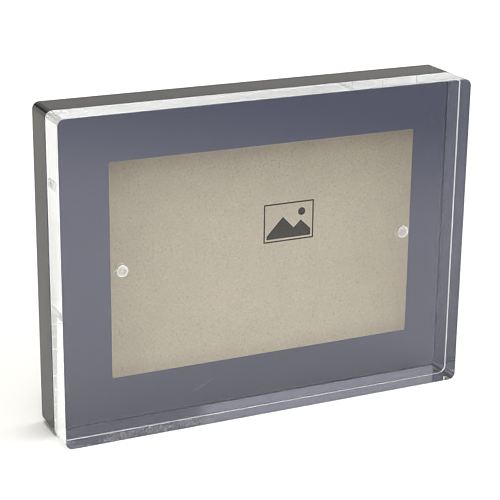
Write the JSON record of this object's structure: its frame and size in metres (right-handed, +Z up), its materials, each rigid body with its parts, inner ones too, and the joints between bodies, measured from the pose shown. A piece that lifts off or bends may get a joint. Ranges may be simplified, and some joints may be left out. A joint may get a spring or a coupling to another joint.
{
  "type": "acrylic block frame",
  "caption": "Free-standing picture frame: a clear acrylic block and a smoke tinted acrylic block held face to face by two pairs of magnets, with a photo card between them.",
  "frame": {"origin": "middle of the footprint on the table, under the closed frame's centre", "axes": "+X to the right seen from the front, +Y from the clear front block to the smoke back block, +Z up"},
  "size_m": [0.2032, 0.0348, 0.1524],
  "materials": {
    "clear_acrylic": "polished",
    "smoke_acrylic": "polished",
    "card": "matte",
    "nickel": "gloss"
  },
  "bodies": {
    "back": {"back_block": "smoke_acrylic", "back_magnet_left": "nickel", "back_magnet_right": "nickel"},
    "front": {"front_block": "clear_acrylic", "front_magnet_left": "nickel", "front_magnet_right": "nickel"},
    "card": {"insert_card": "card"}
  },
  "joints": [
    {"name": "front_pull", "type": "slide", "parent": "back", "child": "front", "axis": [0, -1, 0], "range_m": [0, 0.06]},
    {"name": "card_lift", "type": "slide", "parent": "back", "child": "card", "axis": [0, 0, 1], "range_m": [0, 0.13]}
  ]
}
